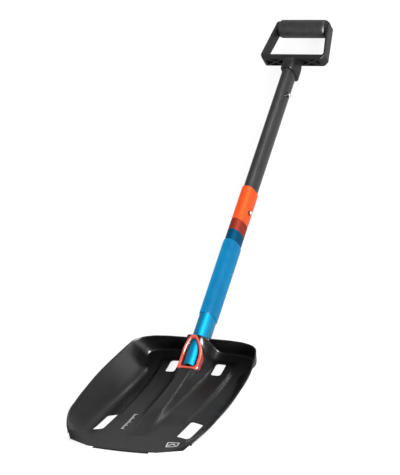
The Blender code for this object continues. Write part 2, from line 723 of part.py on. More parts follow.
def main():
    clear_scene()
    root = bpy.data.objects.new("shaft_frame", None)
    bpy.context.collection.objects.link(root)
    root.location = (0, FRAME_Y * MM, AXIS_HEIGHT * MM)
    made_of = make_materials()
    make_blade(root, made_of["blade"])
    make_shaft_cradle(root, made_of["cradle"])
    make_hoe_collar(root, made_of["collar"])
    make_lower_shaft(root, made_of["lower"])
    make_grip_sleeve(root, made_of["grip"])
    make_upper_shaft(root, made_of["upper"])
    make_locks(root, made_of)
    make_handle_frame(root, made_of["handle"])
    make_grip_cover(root, made_of["cover"])


main()
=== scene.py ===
"""Looks for the telescoping avalanche shovel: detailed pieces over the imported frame, light and camera.

Pieces are laid out in the shaft's frame, in millimetres: +X is the blade's width, +Y runs along the shaft
to the handle, +Z is up, and Y = 0 is where the shaft enters the blade. The frame's own boxes say where
that frame stands and how large the tubes, the grip and the handle are.
"""

import math

import bmesh
import bpy
import numpy as np
from mathutils import Matrix, Vector


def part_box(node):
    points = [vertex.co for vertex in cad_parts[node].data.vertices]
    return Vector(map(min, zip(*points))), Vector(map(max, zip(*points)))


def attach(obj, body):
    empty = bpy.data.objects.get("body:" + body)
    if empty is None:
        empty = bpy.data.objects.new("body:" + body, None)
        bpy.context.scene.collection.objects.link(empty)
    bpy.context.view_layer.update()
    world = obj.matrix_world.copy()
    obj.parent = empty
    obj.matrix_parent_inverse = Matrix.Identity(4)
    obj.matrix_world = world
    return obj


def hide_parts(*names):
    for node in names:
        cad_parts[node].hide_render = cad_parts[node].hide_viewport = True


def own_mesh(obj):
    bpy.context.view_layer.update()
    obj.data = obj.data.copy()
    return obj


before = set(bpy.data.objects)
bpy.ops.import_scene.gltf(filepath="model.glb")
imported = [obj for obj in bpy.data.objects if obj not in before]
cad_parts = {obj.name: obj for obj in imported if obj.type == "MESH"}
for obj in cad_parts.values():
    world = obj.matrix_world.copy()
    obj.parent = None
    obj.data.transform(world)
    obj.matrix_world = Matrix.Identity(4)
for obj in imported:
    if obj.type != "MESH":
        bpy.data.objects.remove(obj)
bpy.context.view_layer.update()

MM = 0.001
SHARP_ANGLE = math.radians(40.0)  # edges with a sharper turn than this stay sharp
GAP = 0.3  # clearance between neighbouring pieces


def node_box(node):
    """Lowest and highest corner of a CAD node, in millimetres in the shaft's frame."""
    low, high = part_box(node)
    return (low - ORIGIN) / MM, (high - ORIGIN) / MM


# Where the shaft's frame stands in the scene
LOWER_START = -59.0  # the lower tube's blade end
tube_low, tube_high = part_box("lower_shaft")
ORIGIN = (tube_low + tube_high) / 2
ORIGIN.y = tube_low.y - LOWER_START * MM

# Shaft
TUBE_POWER = 2.2
TUBE_SIDES = 128
LOWER_WALL = 1.5
UPPER_WALL = 1.3
RIM_EASE = 0.35  # rounding of the tubes' and the sleeve's ends
BUTTON_Y = {"extended_lock": 221.0, "stowed_lock": 448.0, "blade_lock": -31.0}
BUTTON_TRAVEL = {"extended_lock": 6.5, "stowed_lock": 6.5, "blade_lock": 9.8}
BUTTON_RADIUS = 3.4
BUTTON_DOME = 2.4
HOLE_RADIUS = 4.3
COLOUR_BANDS = (161.5, 180.0, 199.5)  # where the dark blue, the dark red and the orange start
GRIP_THICK = 1.1
DOT_PITCH = 4.4
DOT_ROWS = DOT_PITCH * 0.87
DOT_HEIGHT = 0.28
SLEEVE_STEP = 0.9  # spacing of the sleeve's rings
SLEEVE_BORDER = 3.0  # each end is plain this far, and the dots grow over the same length again

# Blade
SHEET = 2.0
BLADE_LENGTH = 266.0
EDGE_BULGE = 18.0
EDGE_TURN = 60.0  # stretch over which the rim's inward direction turns square to the front edge
HEEL = (-12.0, -18.5)
HEEL_SLOPE = -5.0
EDGE_SLOPE = 35.8
SLOPE_RUN = 47.5
# Height of the wall's rim over the floor, from the rear to the front corners: along the floor, height.
WALL_TOP = [(-5, 27.5), (8, 29.5), (20, 33.5), (35, 35.5), (53, 36.2), (84, 35), (127, 32), (157, 28.5),
            (192, 24.3), (224, 19), (247, 11), (BLADE_LENGTH, 0)]
REAR_WALL_DEPTH = 10.0
SIDE_WALL_DEPTH = 38.0
DEPTH_START = 8.0  # where the wall's depth starts to change, and over what length
DEPTH_RUN = 45.0
WALL_BEND = (0.75, 0.3)  # share of the depth where wall and floor would meet, and half width of the bend
RIM = [(0, -3.5), (30, -3.5), (60, -2.8), (80, -0.5), (93.5, 6), (102, 18), (106.3, 32.5), (110.8, 53.5),
       (116.4, 84), (120.2, 127), (120.4, 157), (119, 192), (115.6, 224), (106.5, 247), (92.5, BLADE_LENGTH)]
LIP = 0.9  # how far the rounded rim stands outside the sheet's surface grid
REAR_COLUMNS = 48
SIDE_ROWS = 100
WALL_RINGS = 20
CORNER_ALONG = 9.0
TUNNEL_REAR = 41.5
TUNNEL_MID = 20.5
TUNNEL_MID_ALONG = 50.0
TUNNEL_END = 238.0
TUNNEL_HALF = (19.0, 16.0)  # round the hoe socket, and in front of it
TUNNEL_POWER = (7.0, 5.0)
TUNNEL_CHANGE = (40.0, 90.0)
PANEL_STEP = 2.5
PANEL_EDGE = 4.0
PANEL_HALF = (62.0, 54.0)
PANEL_ALONG = (18.0, 205.0)
PANEL_FADES = (15.0, 40.0)  # lengths over which its rear and its front come up
GUTTER_DEPTH = 4.5  # how far the floor falls from the creases to the side walls
GUTTER_WIDTH = 30.0
GUTTER_START = 30.0
GUTTER_FADES = (90.0, 60.0)
REAR_SLOT = (38.5, 39.5, 8.2, 13.5)  # centre across, centre along, half sizes
FRONT_SLOT = (69.5, 202.0, 9.8, 25.0)
SLOT_ROUNDING = 4.5
GROUND_WIDTH = 3.0  # ground bevel along the front edge
GROUND_FROM = 43.0  # it is bare outside this distance from the middle
SCALE_MARKS = 21
SCALE_START = (-33.0, 179.0)  # first mark of the printed depth scale: across, along
SCALE_STEP = 2.1
BADGE_FRAME = [(58, 247), (74, 244), (77, 257), (61, 260)]
BADGE_PEAK = [(62, 256), (67, 249), (73, 254.5)]
INK_HEIGHT = 0.07
INK_ROOT = -0.4  # how far the printed bars reach into the sheet, so that no gap shows

# Hoe socket
SOCKET_ENDS = (-60.2, -16.5)
SOCKET_HALF = 12.0
COLLAR_WALL = 5.0
COLLAR_TOP = (14.2, 24.0)
COLLAR_BOTTOM = (2.5, 20.2)
COLLAR_CLIMB = (-42.0, -16.0)  # where the collar climbs over the shaft

# Handle
HANDLE_SIDES = 96
ARC_STEPS = 12
# Right half of the D, from the bottom edge up the outside and down the inside: across, along, rounding.
FRAME_CORNERS = [(52.5, 513.3, 4.0), (57.0, 521.5, 4.0), (46.8, 588.5, 3.0), (42.5, 590.0, 0.0),
                 (42.5, 573.0, 0.0), (44.7, 573.0, 0.0), (54.0, 522.3, 3.0)]
FRAME_HALF_DEPTH = 10.5
FRAME_EDGE = 1.2
TOP_BAR_Y = 581.4
TOP_CORE_RADIUS = 11.5
TOP_CORE_HALF = 44.0
TOP_CORE_EASE = 1.5
GRIP_SHOULDER = (5.0, 2.4)  # length and drop of the rounded shoulder at each end
NECK_ENDS = (489.7, 518.0)
NECK_HALF = 11.2
NECK_TOP = 18.8
NECK_POWER = 4.0
NECK_TAPER = (12.0, 10.5)  # length over which it flattens into the base bar, and by how much
LATTICE_FLOOR_Y = 518.0
LATTICE = (16.0, 47.0, 8.5)  # nearest and farthest X, and half depth
LATTICE_RIB = 1.3

# Camera, given by where it looks and from where
LOOKS_AT = (-59.6, 171.9, 0.0)
CAMERA_AZIMUTH = 44.76
CAMERA_ELEVATION = 49.22
CAMERA_ROLL = -33.8
CAMERA_DISTANCE = 3.216
CAMERA_LENS = 156.8

# Studio
FLOOR_REACH = 12.0
LIGHT_DISTANCE = 2.6
# Name, azimuth, elevation, size and power of each softbox
SOFTBOXES = [("tube_softbox", 118.7, 16.0, (1.4, 0.4), 15.0),
             ("corner_softbox", 62.0, 26.0, (1.3, 0.8), 1300.0),
             ("crest_softbox", 172.0, 27.0, (0.4, 0.4), 24.0)]


# ---------------------------------------------------------------- mesh helpers


def superellipse(half_x, half_z, sides, power):
    """Points of a rounded outline around the origin, as an array."""
    turn = np.linspace(0, 2 * math.pi, sides, endpoint=False)
    cos, sin = np.cos(turn), np.sin(turn)
    x = half_x * np.sign(cos) * np.abs(cos) ** (2 / power)
    z = half_z * np.sign(sin) * np.abs(sin) ** (2 / power)
    return np.stack([x, z], axis=1)


def smooth_curve(places, values, wanted):
    """Cubic through points without corners between them."""
    step = np.diff(places)
    slope = np.diff(values) / step
    tangent = np.zeros(len(values))
    tangent[1:-1] = (slope[1:] * step[:-1] + slope[:-1] * step[1:]) / (step[1:] + step[:-1])
    tangent[0], tangent[-1] = slope[0], slope[-1]
    cell = np.clip(np.searchsorted(places, wanted) - 1, 0, len(step) - 1)
    t = (wanted - places[cell]) / step[cell]
    width = step[cell]
    return ((2 * t**3 - 3 * t**2 + 1) * values[cell] + (t**3 - 2 * t**2 + t) * width * tangent[cell]
            + (3 * t**2 - 2 * t**3) * values[cell + 1] + (t**3 - t**2) * width * tangent[cell + 1])


def closed_curve(points, count):
    """Evenly spread points on a smooth closed curve through the given ones."""
    points = np.array(points, dtype=float)
    wrapped = np.concatenate([points[-3:], points, points[:4]])
    places = np.concatenate([[0], np.cumsum(np.linalg.norm(np.diff(wrapped, axis=0), axis=1))])
    wanted = np.linspace(places[3], places[3 + len(points)], count, endpoint=False)
    return np.stack([smooth_curve(places, wrapped[:, k], wanted) for k in range(points.shape[1])], axis=1)


def skin(rings, ends="capped"):
    """Vertices and faces of a surface through rings of points. Its ends are capped or joined."""
    count = len(rings[0])
    verts = [tuple(point) for ring in rings for point in ring]
    spans = len(rings) if ends == "joined" else len(rings) - 1
    faces = []
    for r in range(spans):
        here, ahead = r * count, (r + 1) % len(rings) * count
        for i in range(count):
            j = (i + 1) % count
            faces.append((here + i, here + j, ahead + j, ahead + i))
    if ends == "capped":
        faces.append(tuple(range(count)))
        faces.append(tuple(range(len(verts) - count, len(verts))))
    return verts, faces


def make_object(name, verts, faces, materials=()):
    """One object from points in the shaft's frame, faces outward, smooth apart from its sharp edges."""
    mesh = bpy.data.meshes.new(name)
    mesh.from_pydata([Vector(point) * MM + ORIGIN for point in verts], [], faces)
    tidy = bmesh.new()
    tidy.from_mesh(mesh)
    bmesh.ops.recalc_face_normals(tidy, faces=tidy.faces)
    tidy.to_mesh(mesh)
    tidy.free()
    for item in materials:
        mesh.materials.append(item)
    mesh.shade_smooth()
    mesh.set_sharp_from_angle(angle=SHARP_ANGLE)
    made = bpy.data.objects.new(name, mesh)
    bpy.context.collection.objects.link(made)
    return made


def boolean(target, tools, operation):
    """Cut objects from a target or join them to it, and leave only the finished mesh."""
    for tool in tools:
        modifier = target.modifiers.new(tool.name, "BOOLEAN")
        modifier.object = tool
        modifier.operation = operation
        modifier.solver = "EXACT"
    graph = bpy.context.evaluated_depsgraph_get()
    mesh = bpy.data.meshes.new_from_object(target.evaluated_get(graph))
    target.modifiers.clear()
    target.data = mesh
    mesh.shade_smooth()
    mesh.set_sharp_from_angle(angle=SHARP_ANGLE)
    for tool in tools:
        bpy.data.objects.remove(tool, do_unlink=True)


def paint(target, choose):
    """Give each face the material slot that choose returns for its middle, in the shaft's frame."""
    for face in target.data.polygons:
        face.material_index = choose((face.center - ORIGIN) / MM, face.normal)


def turned(name, profile, centre, sides=32):
    """Solid of revolution along X, from (place along X, radius) points."""
    turn = np.linspace(0, 2 * math.pi, sides, endpoint=False)
    rings = []
    for along, radius in profile:
        columns = (np.full(sides, float(along)), radius * np.cos(turn), radius * np.sin(turn))
        rings.append(np.stack(columns, axis=1) + np.array(centre))
    return make_object(name, *skin(rings))


def place(piece, body, *stands_for):
    """Let a piece ride on a body in place of CAD nodes."""
    if stands_for:
        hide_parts(*stands_for)
    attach(piece, body)


# ---------------------------------------------------------------- materials


class Shader:
    """A material with one Principled shader and short calls for the procedural nodes around it."""

    def __init__(self, name, roughness, metallic=0.0, **constants):
        self.material = bpy.data.materials.new(name)
        self.material.use_nodes = True
        self.tree = self.material.node_tree
        self.shader = self.tree.nodes["Principled BSDF"]
        self.shader.inputs["Roughness"].default_value = roughness
        self.shader.inputs["Metallic"].default_value = metallic
        for socket, value in constants.items():
            self.shader.inputs[socket.replace("_", " ")].default_value = value
        self.coordinates = self.tree.nodes.new("ShaderNodeTexCoord").outputs["Object"]

    def scaled(self, stretch):
        mapping = self.tree.nodes.new("ShaderNodeMapping")
        mapping.inputs["Scale"].default_value = stretch
        self.tree.links.new(self.coordinates, mapping.inputs["Vector"])
        return mapping.outputs["Vector"]

    def noise(self, scale, stretch=(1, 1, 1), detail=3.0):
        """Noise with features about 1 / scale metres long."""
        texture = self.tree.nodes.new("ShaderNodeTexNoise")
        texture.inputs["Scale"].default_value = scale
        texture.inputs["Detail"].default_value = detail
        self.tree.links.new(self.scaled(stretch), texture.inputs["Vector"])
        return texture.outputs["Fac"]

    def ramp(self, value, low, high, colours):
        """Two colours spread over a range of a value."""
        node = self.tree.nodes.new("ShaderNodeValToRGB")
        for element, position, colour in zip(node.color_ramp.elements, (low, high), colours):
            element.position = position
            element.color = (*colour, 1.0)
        self.tree.links.new(value, node.inputs["Fac"])
        return node.outputs["Color"]

    def spread(self, value, low, high):
        """A noise value brought to a range."""
        node = self.tree.nodes.new("ShaderNodeMapRange")
        node.inputs["From Min"].default_value = 0.3
        node.inputs["From Max"].default_value = 0.7
        node.inputs["To Min"].default_value = low
        node.inputs["To Max"].default_value = high
        self.tree.links.new(value, node.inputs["Value"])
        return node.outputs["Result"]

    def colour(self, output):
        self.tree.links.new(output, self.shader.inputs["Base Color"])

    def roughness(self, output):
        self.tree.links.new(output, self.shader.inputs["Roughness"])

    def bump(self, heights, distance, strength):
        """Relief of a given depth in metres."""
        node = self.tree.nodes.new("ShaderNodeBump")
        node.inputs["Distance"].default_value = distance
        node.inputs["Strength"].default_value = strength
        self.tree.links.new(heights, node.inputs["Height"])
        self.tree.links.new(node.outputs["Normal"], self.shader.inputs["Normal"])


def anodised(name, dark, light, roughness, metallic=1.0, **constants):
    """Drawn and anodised aluminium: fine streaks along the tube, and slow changes of tone."""
    made = Shader(name, roughness, metallic, **constants)
    made.colour(made.ramp(made.noise(60.0, (1, 0.35, 1)), 0.3, 0.7, [dark, light]))
    streaks = made.noise(2600.0, (1, 0.03, 1), 2.0)
    made.roughness(made.spread(streaks, roughness - 0.05, roughness + 0.06))
    made.bump(streaks, 0.00001, 0.3)
    return made.material


def moulded(name, dark, light, roughness, grain_scale=900.0, **constants):
    """Plastic or rubber with a fine eroded grain."""
    made = Shader(name, roughness, 0.0, **constants)
    made.colour(made.ramp(made.noise(45.0), 0.3, 0.7, [dark, light]))
    grain = made.noise(grain_scale, detail=2.0)
    made.roughness(made.spread(made.noise(120.0), roughness - 0.05, roughness + 0.06))
    made.bump(grain, 0.00006, 0.6)
    return made.material


def blade_finish():
    """Hard black anodising on stamped sheet, with faint rolling streaks and handling marks."""
    made = Shader("black_hard_anodised", 0.36, 0.0, Specular_IOR_Level=0.17)
    cloud = made.noise(28.0, (1, 0.5, 0.5))
    made.colour(made.ramp(cloud, 0.3, 0.75, [(0.002, 0.002, 0.0022), (0.004, 0.004, 0.0043)]))
    marks = made.noise(420.0, (1.0, 0.05, 0.3), 4.0)
    made.roughness(made.spread(marks, 0.34, 0.42))
    made.bump(made.noise(1500.0, detail=2.0), 0.00005, 0.5)
    return made.material


def ground_edge():
    """Bare aluminium with grinding lines across the edge."""
    made = Shader("ground_aluminium", 0.42, 0.75)
    lines = made.noise(1400.0, (1.0, 0.06, 0.06), 2.0)
    made.colour(made.ramp(lines, 0.3, 0.7, [(0.62, 0.62, 0.63), (0.86, 0.86, 0.87)]))
    made.bump(lines, 0.00008, 0.5)
    return made.material


def print_ink():
    """White screen print, a little worn."""
    made = Shader("white_print", 0.55)
    made.colour(made.ramp(made.noise(700.0), 0.3, 0.5, [(0.5, 0.5, 0.5), (0.82, 0.82, 0.82)]))
    return made.material


def steel(name, roughness):
    """Turned or rolled steel with fine tool marks."""
    made = Shader(name, roughness, 1.0)
    turning = made.noise(1800.0, detail=2.0)
    made.colour(made.ramp(turning, 0.3, 0.7, [(0.27, 0.27, 0.28), (0.4, 0.4, 0.4)]))
    made.bump(turning, 0.00003, 0.4)
    return made.material


# ---------------------------------------------------------------- blade


def floor_table():
    """Floor curve in the YZ plane: distance along it, Y, Z and slope, from heel to edge."""
    along = np.linspace(-5.0, BLADE_LENGTH + 25.0, 400)
    share = 1 - np.exp(-np.clip(along, 0, None) / SLOPE_RUN)
    slope = np.radians(HEEL_SLOPE + (EDGE_SLOPE - HEEL_SLOPE) * share)
    step = np.diff(along)
    middle = (slope[1:] + slope[:-1]) / 2
    y = np.concatenate([[0], np.cumsum(-np.cos(middle) * step)])
    z = np.concatenate([[0], np.cumsum(np.sin(middle) * step)])
    y += HEEL[0] - np.interp(0, along, y)
    z += HEEL[1] - np.interp(0, along, z)
    return along, y, z, slope


FLOOR = floor_table()


def on_blade(across, along, height):
    """Points at heights over the floor, square to it."""
    y, z, slope = (np.interp(along, FLOOR[0], FLOOR[k]) for k in (1, 2, 3))
    columns = np.broadcast_arrays(across, y + height * np.sin(slope), z + height * np.cos(slope))
    return np.stack(columns, axis=-1)


def ease(share):
    """Smooth 0 to 1 as share goes from 0 to 1."""
    share = np.clip(share, 0.0, 1.0)
    return share * share * (3 - 2 * share)


def tunnel_height(across, along):
    """Height of the central tunnel over the floor. It fades out towards the front edge."""
    near = TUNNEL_REAR + (TUNNEL_MID - TUNNEL_REAR) * ease(along / TUNNEL_MID_ALONG)
    far = TUNNEL_MID * np.clip((TUNNEL_END - along) / (TUNNEL_END - TUNNEL_MID_ALONG), 0, None)
    crest = np.where(along < TUNNEL_MID_ALONG, near, far)
    low, high = TUNNEL_CHANGE
    share = ease((along - low) / (high - low))
    half, power = (first + (last - first) * share for first, last in (TUNNEL_HALF, TUNNEL_POWER))
    return crest / (1 + np.abs(across / half) ** power)


def panel_height(across, along):
    """Raised middle of the floor, between two creases that close in towards the front."""
    low, high = PANEL_ALONG
    share = np.clip((along - low) / (high - low), 0, 1)
    half = PANEL_HALF[0] + (PANEL_HALF[1] - PANEL_HALF[0]) * share
    side = ease((half + PANEL_EDGE - np.abs(across)) / (2 * PANEL_EDGE))
    ends = ease((along - low) / PANEL_FADES[0]) * ease((high - along) / PANEL_FADES[1])
    return PANEL_STEP * side * ends


def gutter_height(across, along):
    """The floor falls a little from the creases towards the side walls."""
    fall = ease((np.abs(across) - PANEL_HALF[1]) / GUTTER_WIDTH)
    rear, front = GUTTER_FADES
    return -GUTTER_DEPTH * fall * ease((along - GUTTER_START) / rear) * ease((BLADE_LENGTH - along) / front)


def floor_height(across, along):
    """Height of the pressed shapes over the floor curve."""
    return tunnel_height(across, along) + panel_height(across, along)


def wall_share(depth_share):
    """Height of the wall's section, from 1 at the rim: straight, then a bend into the floor."""
    meet, bend = WALL_BEND
    up = 1 - depth_share / meet
    if up > bend:
        return up
    return max(0.0, up + bend) ** 2 / (4 * bend)


def rim_points():
    """Rim from the left front corner round the rear to the right one, with inward directions."""
    control = np.array(RIM, dtype=float)
    lengths = np.concatenate([[0], np.cumsum(np.linalg.norm(np.diff(control, axis=0), axis=1))])
    dense = np.linspace(0, lengths[-1], 2000)
    curve = np.stack([smooth_curve(lengths, control[:, k], dense) for k in (0, 1)], axis=1)
    ahead = np.gradient(curve, dense, axis=0)
    inward = np.stack([-ahead[:, 1], ahead[:, 0]], axis=1)
    edge = np.array([-1.0, 2 * EDGE_BULGE / RIM[-1][0]])
    share = np.clip((curve[:, 1] - BLADE_LENGTH + EDGE_TURN) / EDGE_TURN, 0, 1)[:, None] ** 2
    inward /= np.linalg.norm(inward, axis=1)[:, None]
    inward = inward * (1 - share) + edge / np.linalg.norm(edge) * share
    inward /= np.linalg.norm(inward, axis=1)[:, None]
    corner = dense[np.argmax(curve[:, 1] > CORNER_ALONG)]
    rear = np.linspace(0, corner, REAR_COLUMNS + 1)
    side = np.linspace(corner, lengths[-1], SIDE_ROWS + 1)[1:]
    wanted = np.concatenate([rear, side])
    table = np.concatenate([curve, inward], axis=1)
    half = np.stack([np.interp(wanted, dense, table[:, k]) for k in range(4)], axis=1)
    half[0, 2:] = (0, 1)
    both = np.concatenate([half[:0:-1] * (-1, 1, -1, 1), half])
    return both[:, :2] + both[:, 2:] * LIP, both[:, 2:]


def wall_rings():
    """Rings of points from the rim down to the wall's foot, and the foot's places on the floor."""
    rim, inward = rim_points()
    along = rim[:, 1]
    depth = REAR_WALL_DEPTH + (SIDE_WALL_DEPTH - REAR_WALL_DEPTH) * ease((along - DEPTH_START) / DEPTH_RUN)
    places, heights = np.array(WALL_TOP, dtype=float).T
    height = smooth_curve(places, heights, along)
    rings = []
    for share in np.linspace(0, 1, WALL_RINGS + 1):
        spots = rim + inward * (depth * share)[:, None]
        wall = height * wall_share(share)
        tunnel = floor_height(spots[:, 0], spots[:, 1])
        # A small fillet where the tunnel runs into the wall
        blend = 1.5 * np.exp(-np.abs(wall - tunnel) / 3.0) * np.minimum(np.minimum(wall, tunnel), 6.0) / 6.0
        gutter = gutter_height(spots[:, 0], spots[:, 1]) * (1 - wall_share(share))
        rings.append(on_blade(spots[:, 0], spots[:, 1], np.maximum(wall, tunnel) + blend + gutter))
    return rings, spots


def floor_rows(foot):
    """Rows of places between the left, rear and right feet of the wall and the curved front edge."""
    columns = 2 * REAR_COLUMNS
    left = foot[: SIDE_ROWS + 1][::-1]
    rear = foot[SIDE_ROWS : SIDE_ROWS + columns + 1]
    right = foot[SIDE_ROWS + columns :]
    half, start = right[-1]
    reach = BLADE_LENGTH + EDGE_BULGE - LIP - start
    x = np.linspace(-half, half, columns + 1)
    front = np.stack([x, start + reach * (1 - (x / half) ** 2)], axis=1)
    a = np.linspace(0, 1, columns + 1)[:, None]
    rows = []
    for j in range(1, SIDE_ROWS + 1):
        b = j / SIDE_ROWS
        sides = (1 - a) * left[j] + a * right[j]
        ends = (1 - b) * rear + b * front
        corners = ((1 - a) * (1 - b) * left[0] + a * (1 - b) * right[0]
                   + (1 - a) * b * left[-1] + a * b * right[-1])
        rows.append(sides + ends - corners)
    return rows


def blade_grid():
    """Upper surface of the blade: wall rings, then floor rows that share the foot's vertices."""
    rings, foot = wall_rings()
    count = len(foot)
    verts = [point for ring in rings for point in ring]
    faces = []
    for r in range(WALL_RINGS):
        for i in range(count - 1):
            a, b = r * count + i, (r + 1) * count + i
            faces.append((a, a + 1, b + 1, b))
    start = WALL_RINGS * count
    columns = 2 * REAR_COLUMNS
    before = [start + SIDE_ROWS + i for i in range(columns + 1)]
    for j, row in enumerate(floor_rows(foot), 1):
        here = [start + SIDE_ROWS - j]
        for across, along in row[1:-1]:
            here.append(len(verts))
            height = floor_height(across, along) + gutter_height(across, along)
            verts.append(on_blade(across, along, height))
        here.append(start + SIDE_ROWS + columns + j)
        for i in range(columns):
            faces.append((before[i], before[i + 1], here[i + 1], here[i]))
        before = here
    return verts, faces


def thickened(verts, faces):
    """Give the grid an underside and a rounded rim. Also returns the faces of the ground front edge."""
    surface = bmesh.new()
    made = [surface.verts.new(point) for point in verts]
    for face in faces:
        surface.faces.new([made[i] for i in face])
    bmesh.ops.recalc_face_normals(surface, faces=surface.faces)
    if sum(face.normal.z for face in surface.faces) < 0:
        bmesh.ops.reverse_faces(surface, faces=surface.faces)
    surface.normal_update()
    lower = {v: surface.verts.new(v.co - v.normal * SHEET) for v in made}
    border = [edge for edge in surface.edges if len(edge.link_faces) == 1]
    rim = dict.fromkeys(v for edge in border for v in edge.verts)
    profiles = {v: edge_profile(v, lower[v], surface) for v in rim}
    for face in list(surface.faces):
        surface.faces.new([lower[v] for v in reversed(face.verts)])
    ground = []
    for edge in border:
        first, second = (profiles[v] for v in edge.verts)
        bare = min((chain[2].co - chain[0].co).length for chain in (first, second)) > GROUND_WIDTH / 2
        for k in range(len(first) - 1):
            face = surface.faces.new((first[k], second[k], second[k + 1], first[k + 1]))
            if bare:
                ground.append(face)
    bmesh.ops.recalc_face_normals(surface, faces=surface.faces)
    surface.verts.index_update()
    surface.faces.index_update()
    verts = [tuple(vertex.co) for vertex in surface.verts]
    faces = [tuple(vertex.index for vertex in face.verts) for face in surface.faces]
    bare_faces = [face.index for face in ground]
    surface.free()
    return verts, faces, bare_faces


def edge_profile(upper, lower, surface):
    """Vertices round the sheet's edge, from its upper to its lower side."""
    neighbours = [edge.other_vert(upper) for edge in upper.link_edges if len(edge.link_faces) == 1]
    ahead = (neighbours[0].co - neighbours[-1].co).normalized()
    outward = ahead.cross(upper.normal).normalized()
    inside = [edge.other_vert(upper).co for edge in upper.link_edges if len(edge.link_faces) == 2]
    if inside and outward.dot(upper.co - inside[0]) < 0:
        outward = -outward
    middle = (upper.co + lower.co) / 2
    ground = ease((abs(upper.co.x) - GROUND_FROM) / 2) if outward.y < -0.5 else 0.0
    reach = LIP + (GROUND_WIDTH - LIP) * float(ground)
    chain = [upper]
    for k in range(1, 5):
        turn = math.pi * k / 5
        out = outward * reach * math.sin(turn)
        chain.append(surface.verts.new(middle + out + upper.normal * SHEET / 2 * math.cos(turn)))
    chain.append(lower)
    return chain


def slot_tool(name, slot, side):
    """Rounded prism square to the blade's floor at a slot's place."""
    across, along, half_across, half_along = slot
    corners = []
    for quarter, (sx, sy) in enumerate(((1, 1), (-1, 1), (-1, -1), (1, -1))):
        for turn in np.linspace(quarter, quarter + 1, 9) * math.pi / 2:
            x = sx * (half_across - SLOT_ROUNDING) + SLOT_ROUNDING * math.cos(turn)
            y = sy * (half_along - SLOT_ROUNDING) + SLOT_ROUNDING * math.sin(turn)
            corners.append((side * across + x, y))
    base = on_blade(0, along, 0)
    ahead = on_blade(0, along + 1, 0) - base
    up = on_blade(0, along, 1) - base
    rings = []
    for height in (-14.0, 14.0):
        rings.append([base + (x, 0, 0) + ahead * y + up * height for x, y in corners])
    return make_object(name, *skin(rings))


def socket_outline(grow, count=72):
    """Hoe opening seen from above: straight across at the front, pointed towards the handle."""
    half = SOCKET_HALF + grow
    front, rear = SOCKET_ENDS[0] - grow, SOCKET_ENDS[1] + grow
    length = rear - front
    shape = [(0.45, 0.0), (0.86, 0.0), (0.975, 0.03), (1.0, 0.2), (1.0, 0.42), (0.88, 0.66), (0.52, 0.87),
             (0.2, 0.98)]
    right = [(half * across, front + length * ahead) for across, ahead in shape]
    return closed_curve(right + [(-x, y) for x, y in reversed(right)], count)


def make_blade(black, bare):
    """Stamped sheet with its slots, the hoe opening and the hole for the button."""
    verts, faces, ground = thickened(*blade_grid())
    blade = make_object("blade_shell", verts, faces, (black, bare))
    for index in ground:
        blade.data.polygons[index].material_index = 1
    opening = [[(x, y, z) for x, y in socket_outline(COLLAR_WALL + GAP)] for z in (-4, 40)]
    tools = [make_object("opening_tool", *skin(opening))]
    for side in (-1, 1):
        tools.append(slot_tool("rear_slot_tool", REAR_SLOT, side))
        tools.append(slot_tool("front_slot_tool", FRONT_SLOT, side))
    bore = [(-30, HOLE_RADIUS), (-9, HOLE_RADIUS)]
    tools.append(turned("button_tool", bore, (0, BUTTON_Y["blade_lock"], 0)))
    boolean(blade, tools, "DIFFERENCE")
    place(blade, "blade", "blade")
    return blade


def make_collar(plastic):
    """Moulded ring round the hoe opening, flat on top with eased edges."""
    # Share of the wall outwards, and drop below the top. A negative drop stands for the bottom.
    profile = [(1, -1), (1, 2.2), (0.97, 1.3), (0.88, 0.6), (0.76, 0.15), (0.64, 0.0), (0.34, 0.0),
               (0.22, 0.15), (0.1, 0.6), (0.02, 1.3), (0, 2.2), (0, -1)]
    low, high = COLLAR_CLIMB
    rings = []
    for share, below_top in profile:
        places = socket_outline(COLLAR_WALL * share, 120)
        climb = np.clip((places[:, 1] - low) / (high - low), 0, 1)
        top = COLLAR_TOP[0] + (COLLAR_TOP[1] - COLLAR_TOP[0]) * climb ** 1.3
        bottom = COLLAR_BOTTOM[0] + (COLLAR_BOTTOM[1] - COLLAR_BOTTOM[0]) * climb ** 0.7
        z = bottom if below_top < 0 else top - below_top
        rings.append(np.stack([places[:, 0], places[:, 1], z], axis=1))
    collar = make_object("hoe_collar_ring", *skin(rings, "joined"), (plastic,))
    place(collar, "blade", "hoe_collar")


def printed_stroke(blade, start, end, width):
    """Thin raised bar of ink on the blade's upper side between two places (across, along)."""
    start, end = np.array(start, float), np.array(end, float)
    ahead = (end - start) / np.linalg.norm(end - start)
    side = np.array([-ahead[1], ahead[0]]) * width / 2
    pieces = max(1, int(np.linalg.norm(end - start) / 2))
    rings = []
    for share in np.linspace(0, 1, pieces + 1):
        middle = start + (end - start) * share
        ring = []
        heights = (INK_HEIGHT, INK_HEIGHT, INK_ROOT, INK_ROOT)
        for (across, along), height in zip((middle - side, middle + side) * 2, heights):
            above, below = (Vector(on_blade(across, along, h)) * MM + ORIGIN for h in (60, 0))
            down = (below - above).normalized()
            spot = blade.ray_cast(above, down)[1] - down * height * MM
            ring.append(tuple((spot - ORIGIN) / MM))
        rings.append([ring[0], ring[1], ring[3], ring[2]])
    return skin(rings)


def join_parts(parts):
    """One mesh from several (vertices, faces) pairs."""
    verts, faces = [], []
    for part_verts, part_faces in parts:
        offset = len(verts)
        verts += part_verts
        faces += [tuple(i + offset for i in face) for face in part_faces]
    return verts, faces


